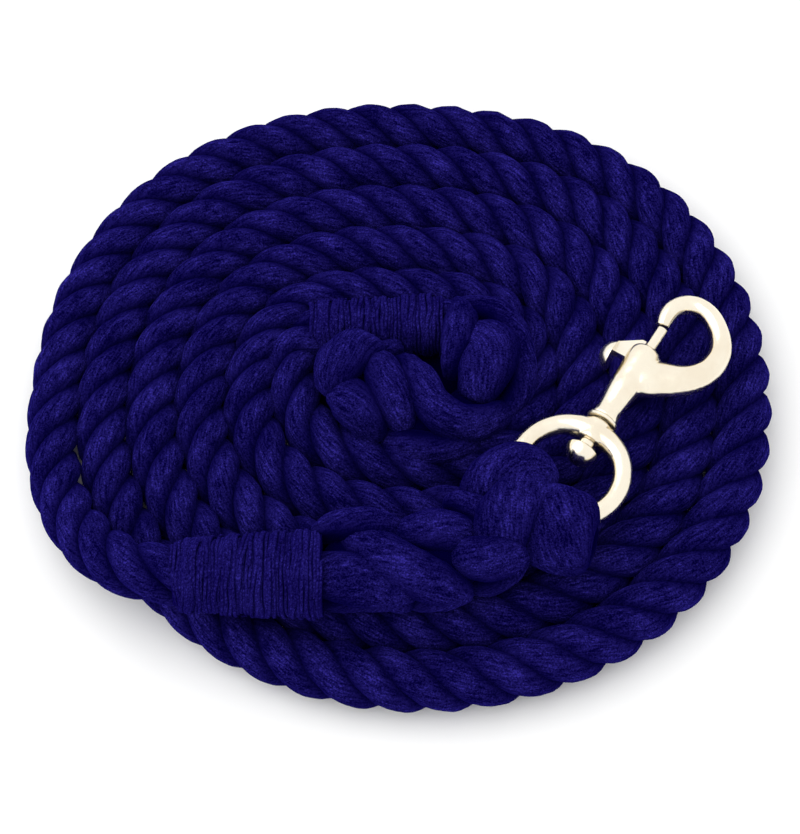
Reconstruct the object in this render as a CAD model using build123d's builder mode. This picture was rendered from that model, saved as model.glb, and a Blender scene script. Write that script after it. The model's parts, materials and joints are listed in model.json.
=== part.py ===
"""Horse lead rope: a coiled three-strand rope with an eye splice at one end and a back splice at the other,
and a swivel bolt snap in the eye. Millimetres, +Z up, resting on the plane z = 0."""

from build123d import *
import math
import os

os.makedirs("parts", exist_ok=True)

# ---------------------------------------------------------------- driving dimensions
ROPE_D = 19.0                       # three-quarter inch laid cotton
ROPE_R = ROPE_D / 2
CLEAR = 0.3                         # gap between pieces that move past each other

# coil: an oval spiral, wound clockwise from its left side inwards
COIL_HALF_WIDTH = 133.9             # centreline of the outer turn, along X
COIL_HALF_DEPTH = 128.3             # the same, along Y
PITCH_X, PITCH_Y = 19.0, 20.25      # how much each half shrinks in one turn
COIL_X, COIL_Y = 5.4, -5.7          # centre of the outer turn
DRIFT_X, DRIFT_Y = -0.7, 1.25       # how far the centre wanders in one turn
CORNER_BACK, CORNER_FRONT = 5.0, 1.0  # how much fuller than an ellipse the diagonals are
COIL_START = -0.015                 # in turns; 0 is the left side
OUTLINE_POINTS = 28
NEST_X, NEST_Y, NEST_RX, NEST_RY = 8.0, 2.5, 41.0, 35.5  # hollow in the middle, where the tail lies

# stretch that comes out of the snap end's whipping and down to the coil
LEAD_ROUTE = [
    (-60.0, -87.5, 34.9), (-83.5, -87.0, 32.5), (-103.0, -77.5, 25.0),
    (-117.5, -60.5, 17.5), (-126.3, -40.0, 11.8), (-129.6, -18.3, 9.6),
]

# snap end: whipping over the tapered end of the splice, then the eye
WHIP_LEFT, WHIP_RIGHT = (-79.6, -87.5, 34.5), (-25.5, -87.5, 35.6)
WHIP_R_LEFT, WHIP_R_RIGHT = 12.4, 16.0
TWINE = 2.0                         # thickness of one layer of whipping twine
EYE_SECTIONS = [                    # x, y, heading in degrees, half width, half height
    (-25.5, -87.5, 0.0, 16.6, 15.0),
    (0.0, -85.3, 8.0, 17.4, 14.8),
    (21.0, -79.0, 23.0, 19.0, 14.8),
    (37.5, -70.0, 37.0, 22.4, 14.8),
    (48.6, -61.4, 50.0, 25.0, 14.6),
]
EYE_Z = 34.4
EYE_MOUTH_HALF = (23.0, 12.6)       # half width and half height where the eye ends inside the ring
EYE_MOUTH_U = -3.5                  # that end, from the ring's centre along the snap
EYE_TUCKS = {                       # tucked strand ends that stand proud of the splice
    "eye_tuck_rear": [(2.0, -72.5, 43.5), (12.5, -72.5, 45.0), (21.0, -77.0, 43.5)],
    "eye_tuck_front": [(21.0, -84.0, 44.0), (31.0, -87.0, 43.0), (40.0, -87.0, 40.0)],
    "eye_tuck_side": [(14.0, -62.5, 38.0), (22.0, -61.0, 41.0), (29.0, -66.0, 44.0)],
}
TUCK_R = 6.5

# tail end: whipping, then a back splice that curls over in the middle of the coil
TAIL_LEFT, TAIL_RIGHT = (-36.0, 24.0, 13.0), (18.0, 24.0, 15.0)
TAIL_WHIP_R = 10.8
TAIL_WHIP_LEFT_X = -33.0
BACK_R = 13.0
BACK_ROUTE = [
    (18.0, 24.0, 15.0), (36.5, 24.6, 19.0), (38.5, -14.0, 20.5), (6.0, -22.5, 20.0), (-18.0, -2.5, 18.0),
]
BACK_BENDS = [13.6, 19.0, 20.0]
CROWN_H = 10.0                      # how far the rounded end stands past the splice

# snap: everything below is measured along its own axis (u) from the ring's centre
SNAP_X, SNAP_Y, SNAP_Z = 62.2, -45.7, 34.0
SNAP_ANGLE = 58.2                   # direction of the snap's axis in the XY plane, degrees
RING_R, RING_BAR_R = 19.3, 3.6
RING_SWELL = [                      # angle from the snap's axis, radius of the bar's middle, its own radius
    (-44, 19.3, 3.6), (-32, 19.1, 3.9), (-19, 18.7, 4.4), (-6, 18.4, 4.8),
    (6, 18.4, 4.8), (19, 18.7, 4.4), (32, 19.1, 3.9), (44, 19.3, 3.6),
]
BOSS_R, BOSS_U0, BOSS_U1, BOSS_EDGE = 5.0, 13.7, 22.8, 0.8
PIN_R, PIN_BORE_R = 2.7, 2.76
HEAD_R, HEAD_U1, HEAD_EDGE = 6.1, 10.4, 0.6
HEAD_U0 = HEAD_U1 - HEAD_EDGE - HEAD_R   # tip of the pin's domed head
NECK_R = 3.0
WASHER_R, WASHER_U0, WASHER_U1 = 6.2, 23.1, 24.3
BODY_U0, BODY_U1 = 24.6, 58.6
BOLT_R, BOLT_BORE_R = 2.1, 2.35
BOLT_U0, BOLT_U1 = 45.6, 69.4
STUD_U, STUD_HEAD_R = 49.6, 6.3
STUD_PIN_U, STUD_PIN_R, STUD_PIN_V = 53.4, 1.5, 1.2   # its pin, pressed into the bolt past its middle
STUD_HEAD_V, STUD_TOP_V = 10.5, 15.0
# web from the bolt to the stud's head, and half its thickness
LUG = [(51.0, 2.1), (60.6, 2.1), (60.6, 3.6), (55.6, 10.8), (51.0, 10.8)]
LUG_HALF = 1.9
TRAVEL = 10.4                       # how far the bolt draws back
BORE_U0, SPRING_U0 = 28.9, 29.4     # bottom of the bolt's bore, and the spring's seat just above it
SPRING_WIRE_R, SPRING_TURNS = 0.25, 8
SPRING_SLACK = 0.2                  # round the spring and, shared, at its ends
# the hook from the barrel round to its nose: u, distance to the side, half width, half height
HOOK_RINGS = [
    (45.5, 1.0, 6.6, 5.1), (49.8, 8.8, 7.0, 5.2), (52.6, 14.2, 6.3, 5.2), (56.0, 18.8, 5.5, 5.1),
    (61.0, 22.2, 4.9, 4.8), (67.4, 23.5, 4.5, 4.5), (74.6, 21.8, 4.0, 4.0), (80.0, 17.6, 3.7, 3.7),
    (83.8, 12.2, 3.6, 3.6), (84.8, 6.6, 3.6, 3.6), (82.4, 1.4, 3.6, 3.6), (77.8, -1.2, 3.5, 3.5),
    (73.2, -1.2, 3.1, 3.1), (70.1, -0.6, 2.5, 2.5),
]

snap_plane = Plane(
    origin=(SNAP_X, SNAP_Y, SNAP_Z),
    x_dir=(math.cos(math.radians(SNAP_ANGLE)), math.sin(math.radians(SNAP_ANGLE)), 0),
    z_dir=(0, 0, 1),
)
# local X runs along the snap (u); local Y is its left side, where the thumb stud is
side_plane = Plane(origin=snap_plane.origin, x_dir=snap_plane.x_dir, z_dir=snap_plane.y_dir)


def across(u):
    """Plane square to the snap's axis at distance u from the ring's centre."""
    origin = snap_plane.origin + snap_plane.x_dir * u
    return Plane(origin=origin, x_dir=snap_plane.y_dir, z_dir=snap_plane.x_dir)


def coil_point(turns):
    """Centreline of the coil, counted in turns from the left side."""
    angle = 2 * math.pi * turns
    fuller = CORNER_FRONT + (CORNER_BACK - CORNER_FRONT) * (1 + math.sin(angle)) / 2
    corner = fuller * math.sin(2 * angle) ** 2
    half_width = COIL_HALF_WIDTH - PITCH_X * turns + corner
    half_depth = COIL_HALF_DEPTH - PITCH_Y * turns + corner
    x = COIL_X + DRIFT_X * turns - half_width * math.cos(angle)
    y = COIL_Y + DRIFT_Y * turns + half_depth * math.sin(angle)
    return Vector(x, y, 0)


def outer_edge(turns):
    """Point on the outside of the rope at that place in the coil."""
    ahead = coil_point(turns + 0.004) - coil_point(turns - 0.004)
    outward = Vector(-ahead.Y, ahead.X, 0).normalized()
    return coil_point(turns) + outward * ROPE_R


def bend_radii(route):
    """Largest arc at each corner: 0.45 of the shorter run over the tangent of half the turn."""
    radii = []
    for a, b, c in zip(route, route[1:], route[2:]):
        before, after = Vector(*b) - Vector(*a), Vector(*c) - Vector(*b)
        half_turn = math.radians(before.get_angle(after)) / 2
        radii.append(0.45 * min(before.length, after.length) / math.tan(half_turn))
    return radii


def write(part, label):
    part.label = label
    export_step(part, f"parts/{label}.step")


# ---------------------------------------------------------------- rope
with BuildPart() as rope_coil:
    # outer shape of the five turns that lie side by side, stepped where the outer turn begins
    edge = [outer_edge(COIL_START + i / OUTLINE_POINTS) for i in range(OUTLINE_POINTS + 1)]
    with BuildSketch(Plane.XY):
        with BuildLine():
            Spline(*edge)
            Line(edge[-1], edge[0])
        make_face()
        with Locations((NEST_X, NEST_Y)):
            Ellipse(NEST_RX, NEST_RY, mode=Mode.SUBTRACT)
    extrude(amount=ROPE_D)
write(rope_coil.part, "rope_coil")

with BuildPart() as rope_lead:
    lead_radii = bend_radii(LEAD_ROUTE)
    with BuildLine() as lead_path:
        FilletPolyline(*LEAD_ROUTE, radius=lead_radii)
    with BuildSketch(Plane(origin=lead_path.line @ 0, z_dir=lead_path.line % 0)):
        Circle(ROPE_R)
    sweep()
write(rope_lead.part, "rope_lead")
lead_length = lead_path.wires()[0].length
print("rope_lead radii", [round(r, 1) for r in lead_radii], "length", round(lead_length, 1))
print("rope_lead volume over section x length", rope_lead.part.volume / (math.pi * ROPE_R**2 * lead_length))

# ---------------------------------------------------------------- snap-end whipping and splice
whip_axis = Vector(*WHIP_RIGHT) - Vector(*WHIP_LEFT)
whip_plane = Plane(origin=WHIP_LEFT, z_dir=whip_axis)
whip_end = Plane(origin=WHIP_RIGHT, z_dir=whip_axis)
lead_share = (LEAD_ROUTE[0][0] - WHIP_LEFT[0]) / whip_axis.X   # of the whipping that holds single rope

with BuildPart() as splice_taper:
    with BuildSketch(Plane(origin=LEAD_ROUTE[0], z_dir=whip_axis)):
        Circle(WHIP_R_LEFT + lead_share * (WHIP_R_RIGHT - WHIP_R_LEFT) - TWINE)
    with BuildSketch(whip_end):
        Circle(WHIP_R_RIGHT - TWINE)
    loft()
write(splice_taper.part, "splice_taper")

with BuildPart() as snap_whipping:
    with BuildSketch(whip_plane):
        Circle(WHIP_R_LEFT)
    with BuildSketch(whip_end):
        Circle(WHIP_R_RIGHT)
    loft()
    with BuildSketch(whip_plane):
        Circle(WHIP_R_LEFT - TWINE)
    with BuildSketch(whip_end):
        Circle(WHIP_R_RIGHT - TWINE)
    loft(mode=Mode.SUBTRACT)
write(snap_whipping.part, "snap_whipping")

with BuildPart() as eye_splice:
    for x, y, heading, half_width, half_height in EYE_SECTIONS:
        forward = Vector(math.cos(math.radians(heading)), math.sin(math.radians(heading)), 0)
        with BuildSketch(Plane(origin=(x, y, EYE_Z), x_dir=forward.cross(Vector(0, 0, 1)), z_dir=forward)):
            Ellipse(half_width, half_height)
    with BuildSketch(across(EYE_MOUTH_U)):
        Ellipse(*EYE_MOUTH_HALF)
    loft()
    # tunnel for the ring's bar, so that the ring can turn round through the eye
    with BuildSketch(side_plane):
        with Locations((RING_R, 0)):
            Circle(RING_BAR_R + CLEAR)
    revolve(axis=Axis(snap_plane.origin, (0, 0, 1)), revolution_arc=360, mode=Mode.SUBTRACT)
write(eye_splice.part, "eye_splice")

for label, route in EYE_TUCKS.items():
    with BuildPart() as tuck:
        with BuildLine() as tuck_path:
            ThreePointArc(*route)
        with BuildSketch(Plane(origin=tuck_path.line @ 0, z_dir=tuck_path.line % 0)):
            Circle(TUCK_R)
        sweep()
        with Locations(tuck_path.line @ 0, tuck_path.line @ 1):
            Sphere(TUCK_R)
    write(tuck.part, label)

# ---------------------------------------------------------------- tail end
tail_axis = Vector(*TAIL_RIGHT) - Vector(*TAIL_LEFT)

with BuildPart() as tail_rope:
    with BuildSketch(Plane(origin=TAIL_LEFT, z_dir=tail_axis)):
        Circle(ROPE_R)
    extrude(amount=tail_axis.length)
write(tail_rope.part, "tail_rope")

whip_offset = TAIL_WHIP_LEFT_X - TAIL_LEFT[0]
with BuildPart() as tail_whipping:
    with BuildSketch(Plane(origin=TAIL_LEFT, z_dir=tail_axis).offset(whip_offset)):
        Circle(TAIL_WHIP_R)
        Circle(ROPE_R, mode=Mode.SUBTRACT)
    extrude(amount=tail_axis.length - whip_offset)
write(tail_whipping.part, "tail_whipping")

with BuildPart() as back_splice:
    with BuildLine() as back_path:
        FilletPolyline(*BACK_ROUTE, radius=BACK_BENDS)
    with BuildSketch(Plane(origin=back_path.line @ 0, z_dir=back_path.line % 0)):
        Circle(BACK_R)
    sweep()
write(back_splice.part, "back_splice")
print("back_splice radii", BACK_BENDS, "length", round(back_path.wires()[0].length, 1))

with BuildPart() as tail_crown:
    # rounded end where the three strands turn back on themselves
    end, heading = back_path.line @ 1, back_path.line % 1
    with BuildSketch(Plane(origin=end, x_dir=heading, z_dir=heading.cross(Vector(0, 0, 1)))):
        with BuildLine():
            Line((0, 0), (0, BACK_R))
            TangentArc((CROWN_H, 0), (0, BACK_R), tangent=(0, 1))
            Line((CROWN_H, 0), (0, 0))
        make_face()
    revolve(axis=Axis(end, heading))
write(tail_crown.part, "tail_crown")

# ---------------------------------------------------------------- swivel ring and its pin
with BuildPart() as swivel_ring:
    with BuildSketch(side_plane):
        with Locations((RING_R, 0)):
            Circle(RING_BAR_R)
    revolve(axis=Axis(snap_plane.origin, (0, 0, 1)), revolution_arc=360)
    # the bar swells towards the swivel
    for degrees, middle, bar in RING_SWELL:
        angle = math.radians(degrees)
        centre = snap_plane.from_local_coords(Vector(middle * math.cos(angle), middle * math.sin(angle), 0))
        ahead = snap_plane.from_local_coords(Vector(-math.sin(angle), math.cos(angle), 0)) - snap_plane.origin
        with BuildSketch(Plane(origin=centre, x_dir=(0, 0, 1), z_dir=ahead)):
            Circle(bar)
    loft()
    with BuildSketch(snap_plane):
        with BuildLine():
            Polyline(
                (BOSS_U0, 0), (BOSS_U0, BOSS_R - BOSS_EDGE), (BOSS_U0 + BOSS_EDGE, BOSS_R),
                (BOSS_U1 - BOSS_EDGE, BOSS_R), (BOSS_U1, BOSS_R - BOSS_EDGE), (BOSS_U1, 0), close=True,
            )
        make_face()
    revolve(axis=Axis(snap_plane.origin, snap_plane.x_dir))
    with BuildSketch(across(0)):
        Circle(PIN_BORE_R)
    extrude(amount=BODY_U0, mode=Mode.SUBTRACT)
write(swivel_ring.part, "swivel_ring")

with BuildPart() as swivel_pin:
    # domed head inside the ring, neck, and shank riveted into the hook's barrel
    with BuildSketch(snap_plane):
        with BuildLine():
            Polyline(
                (HEAD_U0, 0), (BORE_U0, 0), (BORE_U0, PIN_R), (BOSS_U0 - CLEAR, PIN_R),
                (BOSS_U0 - CLEAR, NECK_R), (HEAD_U1, NECK_R), (HEAD_U1, HEAD_R - HEAD_EDGE),
                (HEAD_U1 - HEAD_EDGE, HEAD_R),
            )
            CenterArc((HEAD_U1 - HEAD_EDGE, 0), HEAD_R, start_angle=90, arc_size=90)
        make_face()
    revolve(axis=Axis(snap_plane.origin, snap_plane.x_dir))
write(swivel_pin.part, "swivel_pin")

with BuildPart() as swivel_washer:
    with BuildSketch(across(WASHER_U0)):
        Circle(WASHER_R)
        Circle(PIN_BORE_R, mode=Mode.SUBTRACT)
    extrude(amount=WASHER_U1 - WASHER_U0)
    rims = swivel_washer.edges().filter_by(GeomType.CIRCLE).filter_by(lambda e: e.radius > PIN_BORE_R + 1)
    chamfer(rims, 0.3)
write(swivel_washer.part, "swivel_washer")

# ---------------------------------------------------------------- hook casting
with BuildPart() as hook_body:
    # barrel: a flange at the swivel, a waist, and a swell towards the mouth
    with BuildSketch(snap_plane):
        with BuildLine():
            Polyline((BODY_U0, 0), (BODY_U0, 4.9), (BODY_U0 + 0.4, 5.3), (BODY_U0 + 1.2, 5.3))
            Spline(
                (BODY_U0 + 1.2, 5.3), (28.2, 4.8), (36.0, 5.5), (45.0, 6.1), (53.0, 6.5), (56.9, 5.9),
                (BODY_U1, 3.9),
            )
            Polyline((BODY_U1, 3.9), (BODY_U1, 0), (BODY_U0, 0))
        make_face()
    revolve(axis=Axis(snap_plane.origin, snap_plane.x_dir))
    # hook: it spreads where it leaves the barrel, and thins towards the nose
    hook_points = [snap_plane.from_local_coords(Vector(u, -v, 0)) for u, v, _, _ in HOOK_RINGS]
    for i, (_, _, half_width, half_height) in enumerate(HOOK_RINGS):
        along = hook_points[min(i + 1, len(hook_points) - 1)] - hook_points[max(i - 1, 0)]
        sideways = along.cross(Vector(0, 0, 1))
        with BuildSketch(Plane(origin=hook_points[i], x_dir=sideways, z_dir=along)):
            Ellipse(half_width, half_height)
    loft()
    with BuildSketch(across(BORE_U0)):
        Circle(BOLT_BORE_R)
    extrude(amount=BODY_U1 - BORE_U0, mode=Mode.SUBTRACT)
    with BuildSketch(across(BODY_U0)):
        Circle(PIN_R)
    extrude(amount=BORE_U0 - BODY_U0, mode=Mode.SUBTRACT)
    # slot along the barrel's left side for the thumb stud, open at the mouth
    slot_end = LUG[0][0] - TRAVEL - CLEAR
    with BuildSketch(snap_plane):
        with Locations(((slot_end + BODY_U1 + 1) / 2, STUD_HEAD_V / 2)):
            Rectangle(BODY_U1 + 1 - slot_end, STUD_HEAD_V)
    extrude(amount=LUG_HALF + CLEAR, both=True, mode=Mode.SUBTRACT)
write(hook_body.part, "hook_body")

# ---------------------------------------------------------------- bolt, stud and spring
with BuildPart() as latch_bolt:
    with BuildSketch(across(BOLT_U0)):
        Circle(BOLT_R)
    extrude(amount=BOLT_U1 - BOLT_U0)
    chamfer(latch_bolt.edges().filter_by(GeomType.CIRCLE), 0.35)
    with BuildSketch(side_plane):
        with Locations((STUD_PIN_U, 0)):
            Circle(STUD_PIN_R)
    extrude(amount=BOLT_R + 1, both=True, mode=Mode.SUBTRACT)
write(latch_bolt.part, "latch_bolt")

with BuildPart() as thumb_stud:
    # mushroom head beside the barrel, on a web that slides in the slot and is pinned to the bolt
    with BuildSketch(snap_plane):
        with BuildLine():
            Polyline((STUD_U, STUD_TOP_V), (STUD_U, STUD_HEAD_V), (STUD_U + STUD_HEAD_R, STUD_HEAD_V))
            TangentArc((STUD_U, STUD_TOP_V), (STUD_U + STUD_HEAD_R, STUD_HEAD_V), tangent=(1, 0))
        make_face()
    revolve(axis=Axis(snap_plane.from_local_coords(Vector(STUD_U, 0, 0)), snap_plane.y_dir))
    with BuildSketch(snap_plane):
        with BuildLine():
            Polyline(*LUG, close=True)
        make_face()
    extrude(amount=LUG_HALF, both=True)
    with BuildSketch(side_plane.offset(-STUD_PIN_V)):
        with Locations((STUD_PIN_U, 0)):
            Circle(STUD_PIN_R)
    extrude(amount=STUD_PIN_V + LUG[0][1] + 1)
write(thumb_stud.part, "thumb_stud")

with BuildPart() as bolt_spring:
    coil_r = BOLT_BORE_R - SPRING_WIRE_R - SPRING_SLACK
    length = BOLT_U0 - SPRING_U0 - 2 * SPRING_WIRE_R - SPRING_SLACK
    with BuildLine() as spring_path:
        Helix(
            pitch=length / SPRING_TURNS, height=length, radius=coil_r,
            center=snap_plane.origin + snap_plane.x_dir * (SPRING_U0 + SPRING_WIRE_R + SPRING_SLACK / 2),
            direction=snap_plane.x_dir,
        )
    with BuildSketch(Plane(origin=spring_path.line @ 0, z_dir=spring_path.line % 0)):
        Circle(SPRING_WIRE_R)
    sweep(is_frenet=True)
write(bolt_spring.part, "bolt_spring")
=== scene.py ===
"""A coiled navy cotton lead rope with a swivel bolt snap: its looks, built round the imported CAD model.

Metres, +Z up. Places that are easier to read in millimetres are given so, and turned by mm().
"""

import json
import math
import random

import bpy
import numpy as np
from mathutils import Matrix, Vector, noise

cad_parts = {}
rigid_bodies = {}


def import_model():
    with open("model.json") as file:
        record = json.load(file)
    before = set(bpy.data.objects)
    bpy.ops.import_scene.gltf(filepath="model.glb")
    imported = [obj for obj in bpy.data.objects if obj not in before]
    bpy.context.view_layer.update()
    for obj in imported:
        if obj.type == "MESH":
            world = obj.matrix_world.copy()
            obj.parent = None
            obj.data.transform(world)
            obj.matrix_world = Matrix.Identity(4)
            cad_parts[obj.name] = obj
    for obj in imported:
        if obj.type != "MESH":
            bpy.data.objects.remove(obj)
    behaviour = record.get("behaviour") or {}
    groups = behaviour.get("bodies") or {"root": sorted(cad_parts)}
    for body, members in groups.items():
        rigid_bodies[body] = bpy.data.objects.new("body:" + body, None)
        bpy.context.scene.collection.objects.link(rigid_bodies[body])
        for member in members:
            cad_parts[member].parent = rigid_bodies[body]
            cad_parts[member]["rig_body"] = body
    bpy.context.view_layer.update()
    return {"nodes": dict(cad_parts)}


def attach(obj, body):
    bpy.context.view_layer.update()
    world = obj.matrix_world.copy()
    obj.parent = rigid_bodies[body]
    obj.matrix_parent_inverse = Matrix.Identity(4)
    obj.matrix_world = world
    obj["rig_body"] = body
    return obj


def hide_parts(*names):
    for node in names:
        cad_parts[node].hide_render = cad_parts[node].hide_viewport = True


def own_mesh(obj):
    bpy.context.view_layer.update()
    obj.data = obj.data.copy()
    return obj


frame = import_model()

ROPE_D = 0.019
LAY = 2.5 * ROPE_D                   # length of rope in which a strand goes once round
STRAND_D = 0.0103


def mm(points):
    """The same points in metres."""
    return np.array(points, float) / 1000


# ---------------------------------------------------------------- camera
def add_camera():
    """Looks down at 62 degrees from the front."""
    elevation, distance = math.radians(62), 1.0
    target = Vector((0.0011, -0.0102, 0.0088))
    data = bpy.data.cameras.new("camera")
    data.sensor_fit, data.sensor_width, data.lens = "HORIZONTAL", 36, 119.7
    camera = bpy.data.objects.new("camera", data)
    camera.location = target + distance * Vector((0, -math.cos(elevation), math.sin(elevation)))
    camera.rotation_euler = (math.pi / 2 - elevation, 0, 0)
    bpy.context.scene.collection.objects.link(camera)
    bpy.context.scene.camera = camera


# ---------------------------------------------------------------- lines
def nurbs_line(points, resolution=32):
    """Points of the smooth line that has these as its control points."""
    data = bpy.data.curves.new("route", "CURVE")
    data.dimensions = "3D"
    spline = data.splines.new("NURBS")
    spline.points.add(len(points) - 1)
    for point, place in zip(spline.points, points):
        point.co = (*place, 1)
    spline.order_u = 3
    spline.use_endpoint_u = True
    spline.resolution_u = resolution
    route = bpy.data.objects.new("route", data)
    mesh = bpy.data.meshes.new_from_object(route)
    line = np.array([v.co for v in mesh.vertices], float)
    bpy.data.meshes.remove(mesh)
    bpy.data.curves.remove(data)
    return line


def along(line):
    """How far along the line each of its points is."""
    return np.concatenate([[0], np.cumsum(np.linalg.norm(np.diff(line, axis=0), axis=1))])


def spaced(line, step):
    """The same line with points a step apart."""
    s = along(line)
    at = np.linspace(0, s[-1], int(s[-1] / step) + 1)
    return np.stack([np.interp(at, s, line[:, k]) for k in range(3)], axis=1)


def smooth_line(points, step):
    """A line that goes through each of the points (Catmull-Rom)."""
    p = np.vstack([2 * points[0] - points[1], points, 2 * points[-1] - points[-2]])
    t = np.linspace(0, 1, 12, endpoint=False)[:, None]
    spans = [
        0.5 * (2 * b + (c - a) * t + (2 * a - 5 * b + 4 * c - d) * t**2 + (3 * b - a - 3 * c + d) * t**3)
        for a, b, c, d in zip(p, p[1:], p[2:], p[3:])
    ]
    return spaced(np.vstack([*spans, points[-1:]]), step)


def unit(v):
    """The same directions, each one long."""
    return v / np.maximum(np.linalg.norm(v, axis=-1, keepdims=True), 1e-12)


def frames(line):
    """At each point: two directions square to the line and each other, which don't twist along it."""
    ahead = unit(np.gradient(line, axis=0))
    side = np.empty_like(line)
    side[0] = unit(np.cross(ahead[0], (0, 0, 1)))
    for i in range(1, len(line)):
        side[i] = unit(side[i - 1] - ahead[i] * (side[i - 1] @ ahead[i]))
    return side, np.cross(side, ahead)


# ---------------------------------------------------------------- meshes
def mesh_object(name, tubes, body, material):
    """One piece made of (rings, fibre, painted light) tubes."""
    points, faces, offset = [], [], 0
    for rings, _, _ in tubes:
        p, f = tube(rings, offset)
        points.append(p)
        faces += f
        offset += len(p)
    mesh = bpy.data.meshes.new(name)
    mesh.from_pydata(np.vstack(points).tolist(), [], faces)
    mesh.shade_smooth()
    fibre = np.vstack([fibre.reshape(-1, 3) for _, fibre, _ in tubes])
    # each point's painted light: the cotton shader paints shade into the gaps between strands with it
    painted_light = np.concatenate([painted_light.ravel() for _, _, painted_light in tubes])
    mesh.attributes.new("fibre", "FLOAT_VECTOR", "POINT").data.foreach_set("vector", fibre.ravel())
    mesh.attributes.new("painted_light", "FLOAT", "POINT").data.foreach_set("value", painted_light)
    piece = bpy.data.objects.new(name, mesh)
    bpy.context.scene.collection.objects.link(piece)
    mesh.materials.append(material)
    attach(piece, body)
    return piece


def tube(rings, offset):
    """Points of a closed tube through these rings, and its faces when offset points come before it."""
    count, round_it = rings.shape[:2]
    i = np.arange(count - 1)[:, None] * round_it
    j = np.arange(round_it)[None, :]
    k = (j + 1) % round_it
    quads = np.stack([i + j, i + k, i + round_it + k, i + round_it + j], axis=-1).reshape(-1, 4) + offset
    ends = [list(range(offset + round_it - 1, offset - 1, -1)),
            list(range(offset + (count - 1) * round_it, offset + count * round_it))]
    return rings.reshape(-1, 3), quads.tolist() + ends


def strand(line, wide, high, up, round_it=20, twist=-140.0, lumps=0.0004, seed=0.0):
    """A yarn bundle along a line, as rings of points. wide and high are its half sizes, high along up.

    With it: where each point lies in the straightened bundle, its fibres turning by twist radians a metre,
    and its painted light: 1 where it faces out, falling to 0 where it faces into the gaps beside it, which
    are painted in shade."""
    ahead = unit(np.gradient(line, axis=0))
    across = unit(np.cross(ahead, up))
    up = np.cross(across, ahead)
    angle = np.linspace(0, 2 * math.pi, round_it, endpoint=False)
    s = along(line)
    lump = np.zeros((len(s), round_it))
    if lumps:
        lump = lumps * np.array([
            [noise.noise((seed + at * 160, 1.7 * math.cos(a), 1.7 * math.sin(a))) for a in angle]
            for at in s
        ])
    rings = (
        line[:, None]
        + across[:, None] * ((wide[:, None] + lump) * np.cos(angle))[..., None]
        + up[:, None] * ((high[:, None] + lump) * np.sin(angle))[..., None]
    )
    turned = angle[None, :] + twist * s[:, None]
    radius = (wide + high)[:, None] / 2
    place = np.repeat(s[:, None] + seed, round_it, axis=1)
    fibre = np.stack([place, radius * np.cos(turned), radius * np.sin(turned)], axis=-1)
    # painted light and shade: lightest where the bundle faces out, darkest where it faces into the gaps
    # beside it
    painted_light = np.clip(0.08 + np.sin(angle), 0, 1) ** 1.1
    return rings, fibre, np.tile(painted_light, (len(s), 1))


# ---------------------------------------------------------------- materials
FIBRE_RELIEF = 0.0007
PLATE_ROUGHNESS = (0.12, 0.3)        # of its brightest and dullest patches


class Nodes:
    """Shorthand for building one material."""

    def __init__(self, name):
        self.material = bpy.data.materials.new(name)
        self.material.use_nodes = True
        self.tree = self.material.node_tree
        self.shader = self.tree.nodes["Principled BSDF"]

    def add(self, kind, inputs=None, **settings):
        node = self.tree.nodes.new(kind)
        for key, value in settings.items():
            setattr(node, key, value)
        for key, value in (inputs or {}).items():
            if isinstance(value, bpy.types.NodeSocket):
                self.tree.links.new(value, node.inputs[key])
            else:
                node.inputs[key].default_value = value
        return node

    def attribute(self, name, output):
        """A value that the mesh carries at each of its points."""
        node = self.add("ShaderNodeAttribute", attribute_name=name, attribute_type="GEOMETRY")
        return node.outputs[output]

    def scaled(self, vector, scale):
        return self.add("ShaderNodeMapping", {"Vector": vector, "Scale": scale}).outputs["Vector"]

    def noise(self, vector, scale, detail=2.0, rough=0.5):
        return self.add(
            "ShaderNodeTexNoise", {"Vector": vector, "Scale": scale, "Detail": detail, "Roughness": rough}
        ).outputs["Fac"]

    def mix(self, a, b, share):
        """share of b and the rest of a, for two numbers."""
        return self.add(
            "ShaderNodeMix", {"Factor": share, "A": a, "B": b}, data_type="FLOAT"
        ).outputs["Result"]

    def ramp(self, value, stops):
        node = self.add("ShaderNodeValToRGB", {"Fac": value})
        elements = node.color_ramp.elements
        while len(elements) < len(stops):
            elements.new(0.5)
        for element, (at, colour) in zip(elements, stops):
            element.position = at
            element.color = (*colour, 1)
        return node.outputs["Color"]

    def link(self, output, name):
        self.tree.links.new(output, self.shader.inputs[name])

    def set(self, **values):
        for key, value in values.items():
            self.shader.inputs[key.replace("_", " ")].default_value = value


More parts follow.
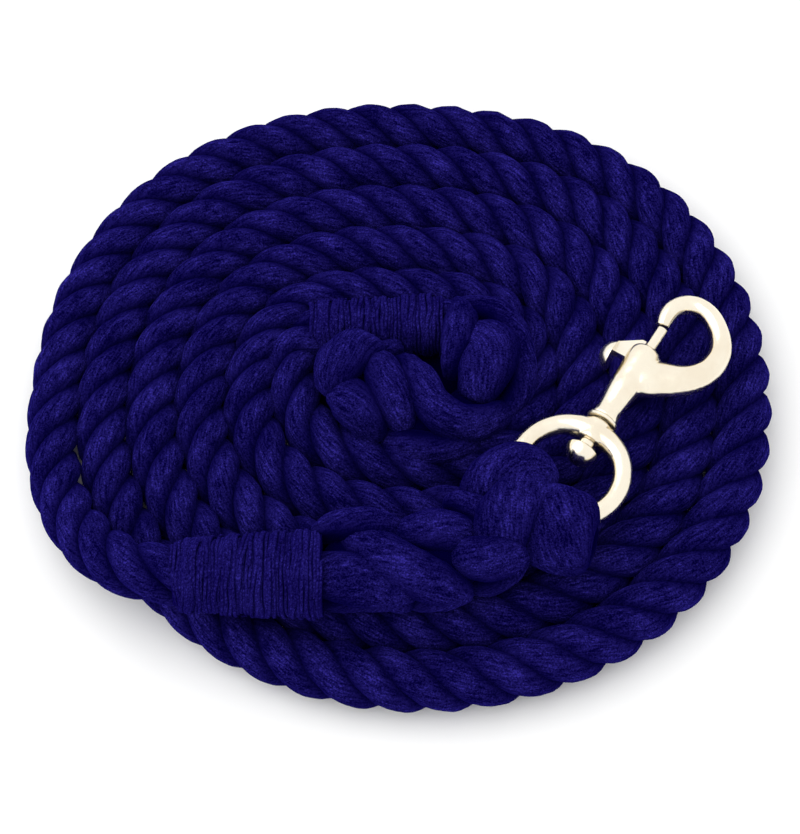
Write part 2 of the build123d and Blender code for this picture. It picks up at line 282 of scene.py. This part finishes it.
def cotton(name, dark, light, across=1250, length=280):
    """Soft cotton: fine fibres that run with the yarns, fluff over them, and painted shade in the gaps
    between strands.

    across and length say how fine the fibres are, across the yarns and along them."""
    n = Nodes(name)
    fibre = n.attribute("fibre", "Vector")
    # the mesh's painted light: 1 facing out, 0 in the painted shade of the gaps
    painted_light = n.attribute("painted_light", "Fac")
    place = n.add("ShaderNodeTexCoord").outputs["Object"]
    streaks = n.noise(n.scaled(fibre, (length, across, across)), 1.0, 3, 0.65)
    yarns = n.noise(n.scaled(fibre, (length / 3, across / 3, across / 3)), 1.0, 2)
    fluff = n.noise(place, 1500, 3, 0.7)
    patches = n.noise(place, 60, 2)
    surface = n.mix(n.mix(streaks, yarns, 0.25), fluff, 0.5)
    tone = n.mix(surface, patches, 0.15)
    spread = n.add(
        "ShaderNodeMapRange",
        {"Value": tone, "From Min": 0.43, "From Max": 0.62, "To Min": 0.0, "To Max": 1.0},
    ).outputs["Result"]
    # the fibre tone times the painted light, so the gaps between strands get painted shade
    lit = n.add("ShaderNodeMath", {0: spread, 1: painted_light}, operation="MULTIPLY").outputs["Value"]
    middle = tuple(0.7 * a + 0.3 * b for a, b in zip(dark, light))
    n.link(n.ramp(lit, [(0.0, dark), (0.55, middle), (1.0, light)]), "Base Color")
    height = n.add("ShaderNodeBump", {"Height": surface, "Distance": FIBRE_RELIEF, "Strength": 1.0})
    n.link(height.outputs["Normal"], "Normal")
    n.set(Roughness=0.95, Specular_IOR_Level=0.0, Sheen_Weight=0.08, Sheen_Roughness=0.4,
          Sheen_Tint=(0.06, 0.04, 1.0, 1))
    return n.material


def plated(name, pale, deep, waves):
    """Pale plating on polished metal: slow waves from the casting, fine scratches and dull patches."""
    n = Nodes(name)
    place = n.add("ShaderNodeTexCoord").outputs["Object"]
    patches = n.noise(place, 90, 3)
    scratches = n.noise(n.scaled(place, (400, 3000, 3000)), 1.0, 3, 0.6)
    n.link(n.ramp(patches, [(0.35, deep), (0.62, pale)]), "Base Color")
    spread = n.add(
        "ShaderNodeMapRange",
        {"Value": n.mix(patches, scratches, 0.4), "From Min": 0.3, "From Max": 0.7,
         "To Min": PLATE_ROUGHNESS[0], "To Max": PLATE_ROUGHNESS[1]},
    ).outputs["Result"]
    n.link(spread, "Roughness")
    relief = n.mix(n.noise(place, 140, 2), scratches, 0.03)
    height = n.add("ShaderNodeBump", {"Height": relief, "Distance": waves, "Strength": 0.7})
    n.link(height.outputs["Normal"], "Normal")
    n.set(Metallic=1.0)
    return n.material


def paper(name):
    """The white surface that the rope lies on."""
    n = Nodes(name)
    place = n.add("ShaderNodeTexCoord").outputs["Object"]
    n.link(n.ramp(n.noise(place, 6, 3), [(0.3, (0.86, 0.86, 0.86)), (0.7, (0.9, 0.9, 0.9))]), "Base Color")
    n.set(Roughness=0.9, Specular_IOR_Level=0.1)
    return n.material


# ---------------------------------------------------------------- the rope
LEAD_ROUTE = mm([
    (-60.0, -87.5, 34.9), (-83.5, -87.0, 32.5), (-103.0, -77.5, 25.0),
    (-117.5, -60.5, 17.7), (-126.3, -40.0, 12.3), (-129.6, -18.3, 10.7),
])
TAIL_ROUTE = mm([
    (-41.5, 8.0, 10.4), (-38.0, 20.0, 12.0), (-22.0, 25.2, 14.0), (0.0, 25.2, 15.3), (22.0, 25.0, 16.2),
])
POINTS_PER_TURN = 24
COIL_TURNS = 4.92
# In millimetres: the outermost turn's middle and half sizes, and how they change from turn to turn.
COIL_MIDDLE, MIDDLE_SHIFT = (5.4, -5.7), (-0.7, 1.25)
COIL_HALF_WIDTH, COIL_HALF_DEPTH = 133.9, 128.3
LANE_WIDTH, LANE_DEPTH = 19.0, 20.25
# Its height in millimetres, and how much higher it lies where it is slacker.
REST_HEIGHT, FRONT_RISE, RIGHT_RISE = 10.8, 0.8, 0.6
ROPE_FULLNESS = 1.09                                # soft strands stand out past the measured size
FRONT_SLACK, RIGHT_SLACK = 0.1, 0.07                # shares by which the rope is thicker there
# Where it is drawn tight, and the outer turns don't quite touch: place, reach and share.
TIGHT_PLACE, TIGHT_REACH, TIGHTNESS = mm((-116, -33)), 0.016, 0.075


def coil_point(turns):
    """Centreline of the coil, counted in turns clockwise from its left side; it rests on the floor."""
    angle = 2 * math.pi * turns
    fuller = 1.0 + 4.0 * (1 + math.sin(angle)) / 2      # the oval's corners stand out more at the back
    corner = fuller * math.sin(2 * angle) ** 2
    outside = 1 / math.cos(math.pi / POINTS_PER_TURN)   # the spline runs inside its control points
    half_width = (COIL_HALF_WIDTH - LANE_WIDTH * turns + corner) * outside
    half_depth = (COIL_HALF_DEPTH - LANE_DEPTH * turns + corner) * outside
    x = COIL_MIDDLE[0] + MIDDLE_SHIFT[0] * turns - half_width * math.cos(angle)
    y = COIL_MIDDLE[1] + MIDDLE_SHIFT[1] * turns + half_depth * math.sin(angle)
    z = REST_HEIGHT + FRONT_RISE * max(0, -math.sin(angle)) + RIGHT_RISE * max(0, -math.cos(angle))
    return mm((x, y, z))


def rope_line():
    """The rope's middle, from inside the snap-end whipping to the back splice."""
    last = int(COIL_TURNS * POINTS_PER_TURN)
    coil = [coil_point(i / POINTS_PER_TURN) for i in range(1, last + 1)]
    return nurbs_line([*LEAD_ROUTE, *coil, *TAIL_ROUTE])


def add_rope(material):
    """Three strands laid round each other along the cord's line."""
    line = spaced(rope_line(), 0.0009)
    side, up = frames(line)
    s = along(line)
    # it lies slacker, and so thicker, along the front and the right of the coil, and tighter at its left
    bearing = unit(line[:, :2] - mm((5, -3)))
    slack = 1 + FRONT_SLACK * np.clip(-bearing[:, 1], 0, 1) ** 1.5
    slack += RIGHT_SLACK * np.clip(bearing[:, 0], 0, 1) ** 1.5
    slack -= TIGHTNESS * np.exp(-(np.linalg.norm(line[:, :2] - TIGHT_PLACE, axis=1) / TIGHT_REACH) ** 2)
    size = slack * STRAND_D / 2
    for number in range(3):
        turn = (2 * math.pi * s / LAY + 2 * math.pi * number / 3)[:, None]
        outward = side * np.cos(turn) - up * np.sin(turn)
        middle = line + outward * (slack * (ROPE_D * ROPE_FULLNESS - STRAND_D) / 2)[:, None]
        bundle = strand(middle, size * 1.06, size, outward, round_it=22, seed=3.1 * number)
        mesh_object(f"rope_strand_{number + 1}", [bundle], "rope", material)
    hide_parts("rope_coil", "rope_lead", "tail_rope")


# ---------------------------------------------------------------- worked strands of the two splices
EYE_Z = 34                           # millimetres: the middle height of the ring and the eye
# Each strand is (name, half width, half height, points), in millimetres. It comes up out of its splice,
# crosses it and goes down into it again. The eye's strands have a mirror image below EYE_Z.
# These three go over the ring's bar and down through the ring.
EYE_LOOPS = [
    ("eye_loop_left", 8.6, 5.6, [
        (29.5, -58, 31), (30, -56.5, 37), (33, -52, 41.5), (38.5, -48.5, 43.2), (45, -47.5, 42.6),
        (51.5, -49, 40), (55, -50, 34),
    ]),
    ("eye_loop_middle", 11.0, 6.0, [
        (35, -79, 31), (35.2, -78.5, 37), (36.5, -74, 42.8), (39.5, -68, 44.8), (44, -61.5, 44.2),
        (49, -56.8, 42), (52.8, -54.8, 38), (53.5, -54.2, 34),
    ]),
    ("eye_loop_right", 13.2, 5.8, [
        (56.2, -80.5, 31), (56.4, -80, 36), (57, -76.8, 40.4), (58, -72, 42.4), (59.2, -67, 42.8),
        (60.6, -61.8, 41.6), (61.6, -59, 38.5), (61.6, -58, 34),
    ]),
]
# These are the strand ends tucked into the splice.
EYE_TUCKS = [
    ("eye_tuck_lower_left", 9.5, 7.0, [
        (-36, -88, 36), (-26, -89.5, 40), (-15, -91, 39.5), (-5, -93.5, 36), (4, -95.5, 28),
    ]),
    ("eye_tuck_long", 8.8, 7.0, [
        (-18, -73, 34), (-13.5, -76.5, 39), (-7, -81.5, 41.8), (1, -87, 42.2), (9.5, -91, 40.6),
        (17, -93.2, 37), (25, -93.5, 32),
    ]),
    ("eye_tuck_upper_left", 6.6, 6.2, [
        (-29, -73, 36), (-22, -71.3, 40), (-13, -70.5, 41.5), (-5, -71.5, 41), (2, -74, 36),
    ]),
    ("eye_tuck_oval_left", 8.2, 6.4, [
        (0.5, -71, 34), (6.5, -73, 41), (14.5, -73.5, 42.8), (21.5, -74.5, 41.5), (27, -75.5, 35),
    ]),
    ("eye_tuck_oval_right", 8.0, 6.4, [
        (20, -79.5, 34), (25, -83, 41), (32, -84.5, 42.2), (39, -82.5, 40), (44, -79.5, 33),
    ]),
    ("eye_tuck_point", 4.8, 4.6, [
        (17.5, -59.5, 35), (21.5, -60, 38), (26.5, -62.5, 40.5), (31, -66, 41), (35, -69, 37),
    ]),
]
EYE_AXIS = mm([
    (-27, -86.0, 34), (-6, -84.0, 34), (12, -80, 34), (28, -73.5, 34), (38, -68, 34), (43, -63, 34),
])
BACK_TUCKS = [
    ("back_tuck_first", 6.6, 5.6, [
        (24, 34, 17), (24.5, 27, 23.5), (23.5, 17, 28), (21.5, 6.5, 28.5), (20, -1, 22),
    ]),
    ("back_tuck_rim", 6.2, 6.2, [
        (22, 33, 17), (29, 29.5, 22.5), (37, 25.5, 25), (42.5, 18, 25.5), (45.5, 8, 25), (46, -1, 23.5),
        (44, -9, 21.5), (38.5, -15.5, 20), (31, -20, 18),
    ]),
    ("back_tuck_inner_right", 11.0, 7.0, [
        (32, 21, 19), (34, 15, 26), (34.8, 6.5, 29.5), (32, -3, 29.5), (28, -11, 24),
    ]),
    ("back_tuck_lower_right", 7.6, 6.8, [
        (1.5, 7, 20), (5, 1, 25), (9, -6.5, 28.5), (12.5, -14.5, 29), (18, -20.5, 28),
        (25.5, -22.5, 26.5), (33.5, -20, 24.5), (41, -12.5, 19),
    ]),
    ("back_tuck_broad", 8.2, 6.8, [
        (-8.5, 8, 20), (-7, 3.5, 25.5), (-4, -6, 29.5), (-0.5, -15, 29), (2.5, -22.5, 22),
    ]),
    ("back_crown", 10.6, 7.4, [
        (-10, 10.5, 20), (-13, 9, 27), (-18, 5, 29.3), (-23, -0.5, 28.3), (-25.5, -6, 20),
    ]),
    ("back_tuck_left", 8.8, 6.6, [
        (-22.5, -4, 20), (-20, -9, 25.5), (-15.5, -15.5, 27.5), (-11.5, -20.5, 25.5), (-9, -24, 18),
    ]),
    ("back_tuck_lower_rim", 5.6, 6.0, [
        (-6, -20, 17), (4, -27.5, 21), (14.5, -30, 22), (23.5, -28.5, 21.5), (33, -22, 17),
    ]),
    ("back_tuck_end", 5.2, 5.0, [
        (1, 14, 14), (-3, 11.5, 20), (-8, 8, 22),
    ]),
]
BACK_AXIS = mm([
    (18, 24, 15), (33, 20, 17), (37, 4, 18), (28, -14, 18), (10, -20, 18), (-8, -14, 18), (-18, -2, 18),
])


def worked_strand(points, wide, high, axis, seed, thin=(1.0, 1.0), tip=0.45, rise=1.0):
    """A strand that crosses a splice. tip is its share of size at its ends, and thin at half way.

    Its outside, which is painted lightest, faces away from the axis, and the more up or down the larger
    rise is."""
    line = smooth_line(points, 0.0008)
    nearest = np.argmin(np.linalg.norm(line[:, None] - axis[None], axis=2), axis=1)
    up = unit((line - axis[nearest]) * (1, 1, rise) + np.array([0, 0, 1e-5]))
    t = np.linspace(0, 1, len(line))
    end = (tip + (1 - tip) * np.sin(math.pi * t) ** 0.55) / 1000
    pinch = np.exp(-(((t - 0.5) / 0.1) ** 2))
    half_width = wide * end * (1 - (1 - thin[0]) * pinch)
    half_height = high * end * (1 - (1 - thin[1]) * pinch)
    return strand(line, half_width, half_height, up, round_it=40, twist=-60, lumps=0.0008, seed=seed)


def core(name, axis, wide, high, material):
    """Soft filling under the strands of a splice, painted all in shade."""
    line = spaced(nurbs_line(axis), 0.002)
    t = np.linspace(-1, 1, len(line))
    taper = np.sqrt(np.clip(1 - t**8, 0.02, 1)) / 1000
    up = np.tile((0.0, 0.0, 1.0), (len(line), 1))
    rings, fibre, painted_light = strand(line, wide * taper, high * taper, up, round_it=24)
    # painted shade: its painted light is zero all over, so it takes the cotton's darkest colour
    return mesh_object(name, [(rings, fibre, painted_light * 0)], "rope", material)


def add_eye(material):
    """The eye splice: loops round the ring, tucked ends, and the filling under them."""
    axis = spaced(nurbs_line(EYE_AXIS), 0.0005)
    for i, (name, wide, high, points) in enumerate(EYE_LOOPS):
        upper = np.array(points)
        lower = upper[-2::-1] * (1, 1, -1) + (0, 0, 2 * EYE_Z)
        under_it = upper[1:-2] * (1, 1, 0) + (0, 0, EYE_Z)
        bundle = worked_strand(mm(np.vstack([upper, lower])), wide, high, smooth_line(mm(under_it), 0.0005),
                               7.0 + i, thin=(0.66, 0.58), tip=0.85)
        mesh_object(name, [bundle], "rope", material)
    for i, (name, wide, high, points) in enumerate(EYE_TUCKS):
        upper = np.array(points)
        lower = upper * (1, 1, -1) + (0, 0, 2 * EYE_Z)
        for place, route, rise in (("top", upper, 2.5), ("under", lower, 1.0)):
            bundle = worked_strand(mm(route), wide, high, axis, 20.0 + i, rise=rise)
            mesh_object(f"{name}_{place}", [bundle], "rope", material)
    filling = core("eye_filling", EYE_AXIS, 14.0, 9.5, material)
    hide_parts("eye_splice", "eye_tuck_rear", "eye_tuck_front", "eye_tuck_side", "splice_taper")


def add_back_splice(material):
    """The tail's end: strands crowned and tucked back over a filling."""
    axis = spaced(nurbs_line(BACK_AXIS), 0.0005)
    for i, (name, wide, high, points) in enumerate(BACK_TUCKS):
        bundle = worked_strand(mm(points), wide, high, axis, 50.0 + i)
        mesh_object(name, [bundle], "rope", material)
    # a flat pad under the back splice, painted all in shade like the fillings
    core("back_underside", mm([(-31, -3, 5), (0, 0, 5), (20, 2, 5), (38, 4, 5)]), 26.0, 4.8, material)
    filling = core("back_filling", BACK_AXIS, 9.0, 8.0, material)
    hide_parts("back_splice", "tail_crown")


# ---------------------------------------------------------------- whippings
TWINE_R, TWINE_PITCH = 0.00072, 0.00125
TWINE_WANDER = 0.0011                # how far its turns stray, outwards and along the rope
LOOSE_RUNS, LOOSE_WANDER = 56, 0.0006
TWINE_POINTS_PER_TURN = 56


def whipping(name, node, start, end, r_start, r_end, material, seed):
    """Twine wound round a tapered rope: close turns, short runs that ride over them, a sleeve beneath
    painted all in shade.
    """
    random.seed(seed)
    start, end = Vector(start), Vector(end)
    axis = (end - start).normalized()
    side = axis.cross(Vector((0, 0, 1))).normalized()
    up = side.cross(axis)
    length = (end - start).length
    turns = int(length / TWINE_PITCH)

    def radius(t):
        rounded = 1 - 0.1 * math.exp(-t / 0.04) - 0.06 * math.exp((t - 1) / 0.03)
        return (r_start + (r_end - r_start) * t) * rounded

    def wound(first, last, turns, lift, wobble):
        """A run of twine from one place along the whipping to another."""
        count = max(12, int(TWINE_POINTS_PER_TURN * turns))
        phase = random.uniform(0, 2 * math.pi)
        line = []
        for i in range(count + 1):
            share = i / count
            t = first + (last - first) * share
            angle = phase + 2 * math.pi * turns * share
            turn = t * length / TWINE_PITCH
            bump = noise.noise((turn * 0.9, math.cos(angle), seed)) * wobble
            drift = noise.noise((turn * 0.31, 1.2 * math.cos(angle), 1.2 * math.sin(angle))) * TWINE_WANDER
            r = radius(t) - TWINE_R + lift + bump
            foot = start + axis * (t * length + drift)
            line.append(foot + side * (r * math.cos(angle)) + up * (r * math.sin(angle)))
        return np.array(line)

    runs = [wound(0.012, 0.988, turns, 0, TWINE_WANDER)]
    for _ in range(LOOSE_RUNS):
        t = random.uniform(0.02, 0.9)
        last = t + random.uniform(-0.02, 0.1)
        runs.append(wound(t, last, random.uniform(0.3, 1.1), TWINE_R * 1.1, LOOSE_WANDER))
    middle = np.array(start)
    strands = []
    for k, line in enumerate(runs):
        foot = middle + np.outer((line - middle) @ np.array(axis), np.array(axis))
        uneven = np.array([noise.noise((0.13 * i, 3.1 * k, seed)) for i in range(len(line))])
        size = TWINE_R * (1 + 0.35 * uneven)
        outward = unit(line - foot)
        strands.append(strand(line, size * 1.05, size, outward, round_it=7, twist=900, lumps=0, seed=k))
    angles = np.linspace(0, 2 * math.pi, 48, endpoint=False)
    spokes = [side * math.cos(a) + up * math.sin(a) for a in angles]
    sleeve = np.array([
        [tuple(start + axis * (t * length) + spoke * (radius(t) - 1.6 * TWINE_R)) for spoke in spokes]
        for t in np.linspace(0.015, 0.985, 24)
    ])
    # painted shade: the sleeve's painted light is zero, so it takes the twine's darkest colour
    strands.append((sleeve, sleeve, np.zeros(sleeve.shape[:2])))
    piece = mesh_object(name, strands, "rope", material)
    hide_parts(node)


# ---------------------------------------------------------------- snap
CASTING_VOXEL, CASTING_ROUNDS = 0.00042, 5          # how finely it is remeshed, and how often smoothed


def cast_copy(node, name, material):
    """The casting with its inside corners run together, as poured metal has them."""
    source = frame["nodes"][node]
    piece = bpy.data.objects.new(name, source.data.copy())
    bpy.context.scene.collection.objects.link(piece)
    piece.data.materials.clear()
    piece.data.materials.append(material)
    remesh = piece.modifiers.new("remesh", "REMESH")
    remesh.mode, remesh.voxel_size, remesh.use_smooth_shade = "VOXEL", CASTING_VOXEL, True
    soften = piece.modifiers.new("soften", "SMOOTH")
    soften.factor, soften.iterations = 0.5, CASTING_ROUNDS
    graph = bpy.context.evaluated_depsgraph_get()
    mesh = bpy.data.meshes.new_from_object(piece.evaluated_get(graph), depsgraph=graph)
    piece.modifiers.clear()
    piece.data = mesh
    mesh.shade_smooth()
    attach(piece, frame["nodes"][node]["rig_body"])
    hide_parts(node)


def add_spring(material):
    """The return spring, a copy of the CAD spring fixed to the snap; the real one is shortest when the bolt
    is drawn right back.
    """
    piece = bpy.data.objects.new("return_spring", frame["nodes"]["bolt_spring"].data.copy())
    bpy.context.scene.collection.objects.link(piece)
    piece.data.materials.clear()
    piece.data.materials.append(material)
    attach(piece, "snap")
    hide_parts("bolt_spring")
    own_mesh(piece)


def finish_node(node, material):
    """Gives a CAD node that is kept as it is its material."""
    piece = frame["nodes"][node]
    piece.data.materials.clear()
    piece.data.materials.append(material)


# ---------------------------------------------------------------- light and floor
def add_floor():
    mesh = bpy.data.meshes.new("floor")
    half = 2.0
    corners = [(-half, -half, 0), (half, -half, 0), (half, half, 0), (-half, half, 0)]
    mesh.from_pydata(corners, [], [(0, 1, 2, 3)])
    mesh.materials.append(paper("floor_paper"))
    floor = bpy.data.objects.new("floor", mesh)
    bpy.context.scene.collection.objects.link(floor)


def add_light(name, place, size, power):
    """A round lamp that faces the middle of the rope."""
    data = bpy.data.lights.new(name, "AREA")
    data.shape, data.size, data.energy = "DISK", size, power
    light = bpy.data.objects.new(name, data)
    light.location = place
    light.rotation_euler = (-Vector(place)).to_track_quat("-Z", "Y").to_euler()
    bpy.context.scene.collection.objects.link(light)


def add_lights():
    """An even white surround and one soft lamp from the left."""
    scene = bpy.context.scene
    scene.world = bpy.data.worlds.new("studio")
    scene.world.use_nodes = True
    background = scene.world.node_tree.nodes["Background"]
    background.inputs["Color"].default_value = (1, 1, 1, 1)
    background.inputs["Strength"].default_value = 1.12
    scene.view_settings.view_transform = "Standard"
    add_light("key", (-0.9, 0.1, 1.2), 2.2, 13)


# ---------------------------------------------------------------- everything
add_camera()
navy = cotton("navy_cotton", dark=(0.0006, 0.0001, 0.0235), light=(0.029, 0.021, 0.25))
twine = cotton("navy_twine", dark=(0.0016, 0.0004, 0.036), light=(0.031, 0.023, 0.26), across=2200,
               length=1100)
casting = plated("plated_casting", pale=(0.88, 0.81, 0.67), deep=(0.84, 0.75, 0.6), waves=0.0005)
turned = plated("plated_steel", pale=(0.88, 0.82, 0.7), deep=(0.85, 0.77, 0.63), waves=0.0002)
wire = plated("spring_wire", pale=(0.62, 0.62, 0.64), deep=(0.5, 0.5, 0.52), waves=0.0001)

add_rope(navy)
add_eye(navy)
add_back_splice(navy)
whipping("snap_whipping_twine", "snap_whipping", mm((-79.6, -87.5, 34.5)), mm((-25.5, -87.5, 35.6)),
         0.0124, 0.0160, twine, seed=4)
whipping("tail_whipping_twine", "tail_whipping", mm((-33.0, 24.3, 13.6)), mm((18.0, 25.5, 16.2)),
         0.0110, 0.0116, twine, seed=9)
cast_copy("hook_body", "hook_casting", casting)
cast_copy("swivel_ring", "ring_casting", casting)
for node in ("swivel_pin", "swivel_washer", "latch_bolt", "thumb_stud"):
    finish_node(node, turned)
add_spring(wire)
add_floor()
add_lights()
